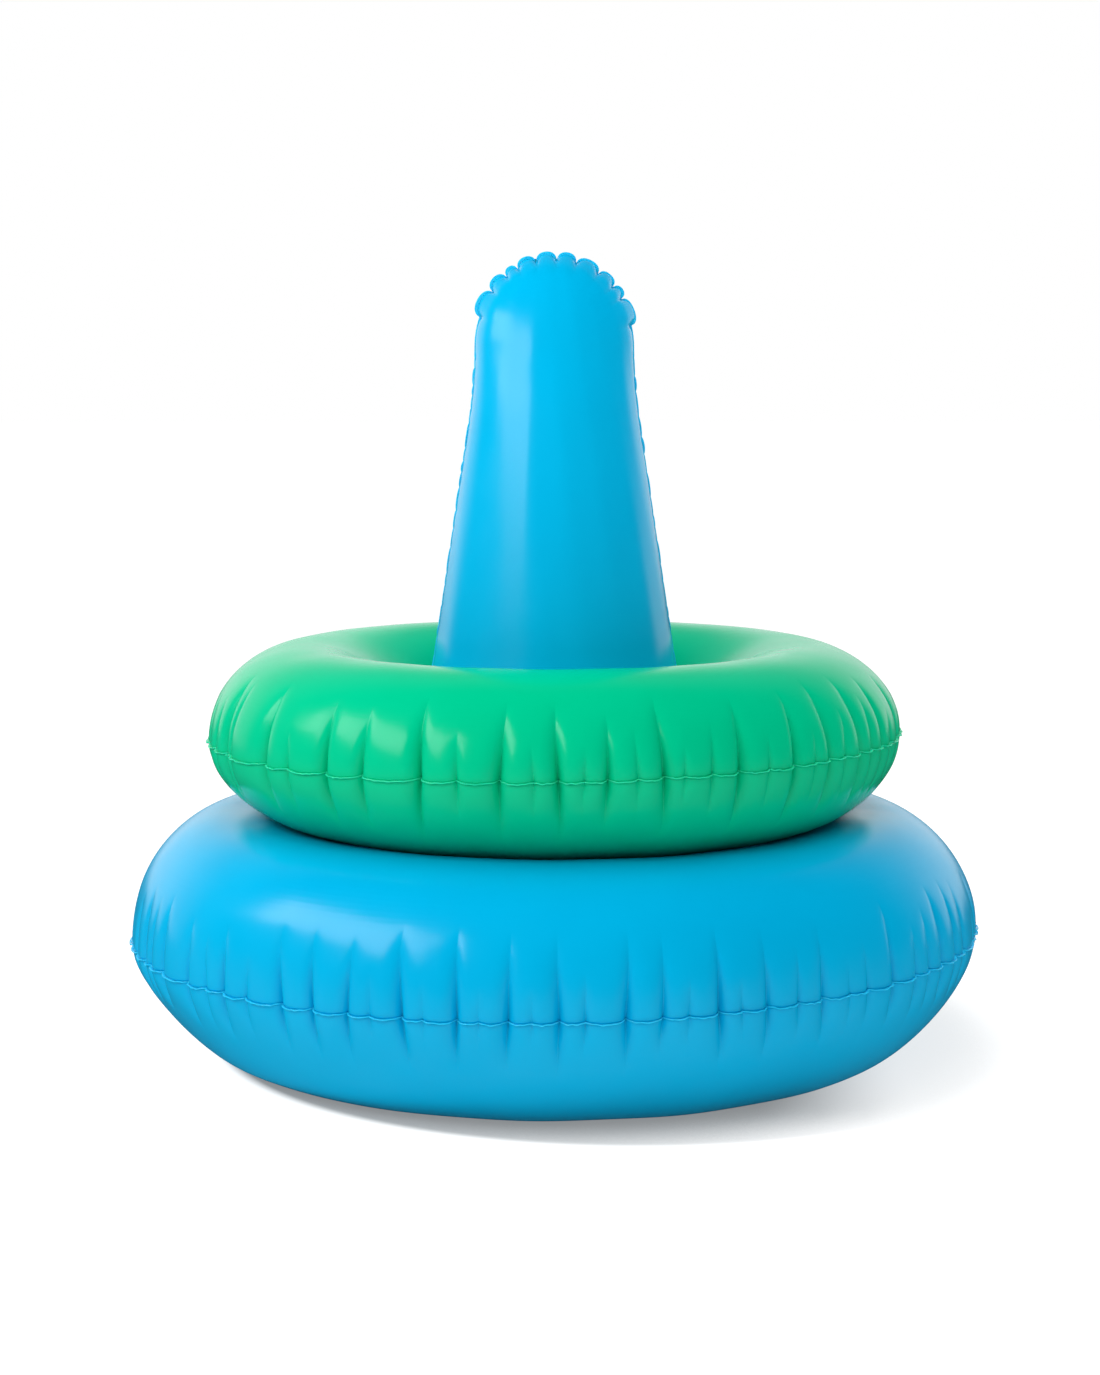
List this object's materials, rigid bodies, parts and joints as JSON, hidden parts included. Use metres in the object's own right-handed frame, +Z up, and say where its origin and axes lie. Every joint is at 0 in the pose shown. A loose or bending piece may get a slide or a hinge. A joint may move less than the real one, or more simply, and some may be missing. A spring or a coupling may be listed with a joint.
{
  "type": "inflatable ring toss set",
  "caption": "Inflatable lawn game: ring-shaped base, tapered post with a domed top, and a ring to toss over it.",
  "frame": {"origin": "on the floor, on the axis of the post", "axes": "+Z up along the post; the post's front panel faces -Y and its side welds lie in Y = 0"},
  "size_m": [0.8049, 0.805, 0.7384],
  "materials": {
    "blue_vinyl": "satin",
    "green_vinyl": "satin",
    "valve_vinyl": "satin"
  },
  "bodies": {
    "base": {"base_top_panel": "blue_vinyl", "base_bottom_panel": "blue_vinyl", "base_outer_weld": "blue_vinyl", "base_inner_weld": "blue_vinyl", "base_centre_web": "blue_vinyl", "base_valve_patch": "valve_vinyl", "base_valve_bellows": "valve_vinyl", "post_front_panel": "blue_vinyl", "post_back_panel": "blue_vinyl", "post_side_weld": "blue_vinyl", "post_foot_panel": "blue_vinyl", "post_foot_weld": "blue_vinyl", "post_valve_patch": "valve_vinyl", "post_valve_bellows": "valve_vinyl"},
    "ring": {"ring_top_panel": "green_vinyl", "ring_bottom_panel": "green_vinyl", "ring_outer_weld": "green_vinyl", "ring_inner_weld": "green_vinyl", "ring_valve_patch": "valve_vinyl", "ring_valve_bellows": "valve_vinyl"},
    "base_stem": {"base_valve_stem": "valve_vinyl"},
    "base_plug": {"base_valve_plug": "valve_vinyl"},
    "base_flap": {"base_valve_flap": "valve_vinyl"},
    "post_stem": {"post_valve_stem": "valve_vinyl"},
    "post_plug": {"post_valve_plug": "valve_vinyl"},
    "post_flap": {"post_valve_flap": "valve_vinyl"},
    "ring_stem": {"ring_valve_stem": "valve_vinyl"},
    "ring_plug": {"ring_valve_plug": "valve_vinyl"},
    "ring_flap": {"ring_valve_flap": "valve_vinyl"}
  },
  "joints": [
    {"name": "ring_lift", "type": "slide", "parent": "base", "child": "ring", "axis": [0, 0, 1], "range_m": [0, 0.6]},
    {"name": "base_stem_pull", "type": "slide", "parent": "base", "child": "base_stem", "axis": [0.2753, 0.6813, 0.6783], "range_m": [0, 0.013], "deforming": ["base_valve_bellows"]},
    {"name": "base_plug_swing", "type": "hinge", "parent": "base_stem", "child": "base_plug", "pos_m": [0.13562, 0.33567, 0.19359], "axis": [0.9272, -0.3746, 0], "range_deg": [0, 110]},
    {"name": "base_flap_swing", "type": "hinge", "parent": "base_stem", "child": "base_flap", "pos_m": [0.13529, 0.33486, 0.17455], "axis": [0.9272, -0.3746, 0], "range_deg": [0, 60], "stiffness_Nm_per_rad": 0.00002, "springref_deg": -22.92},
    {"name": "post_stem_pull", "type": "slide", "parent": "base", "child": "post_stem", "axis": [0, 0.9883, 0.1526], "range_m": [0, 0.013], "deforming": ["post_valve_bellows"]},
    {"name": "post_plug_swing", "type": "hinge", "parent": "post_stem", "child": "post_plug", "pos_m": [0, 0.09939, 0.44783], "axis": [1, 0, 0], "range_deg": [0, 110]},
    {"name": "post_flap_swing", "type": "hinge", "parent": "post_stem", "child": "post_flap", "pos_m": [0, 0.08804, 0.43252], "axis": [1, 0, 0], "range_deg": [0, 60], "stiffness_Nm_per_rad": 0.00002, "springref_deg": -22.92},
    {"name": "ring_stem_pull", "type": "slide", "parent": "ring", "child": "ring_stem", "axis": [-0.284, 0.7029, 0.6522], "range_m": [0, 0.013], "deforming": ["ring_valve_bellows"]},
    {"name": "ring_plug_swing", "type": "hinge", "parent": "ring_stem", "child": "ring_plug", "pos_m": [-0.11251, 0.27847, 0.34811], "axis": [0.9272, 0.3746, 0], "range_deg": [0, 110]},
    {"name": "ring_flap_swing", "type": "hinge", "parent": "ring_stem", "child": "ring_flap", "pos_m": [-0.11193, 0.27705, 0.32911], "axis": [0.9272, 0.3746, 0], "range_deg": [0, 60], "stiffness_Nm_per_rad": 0.00002, "springref_deg": -22.92}
  ]
}
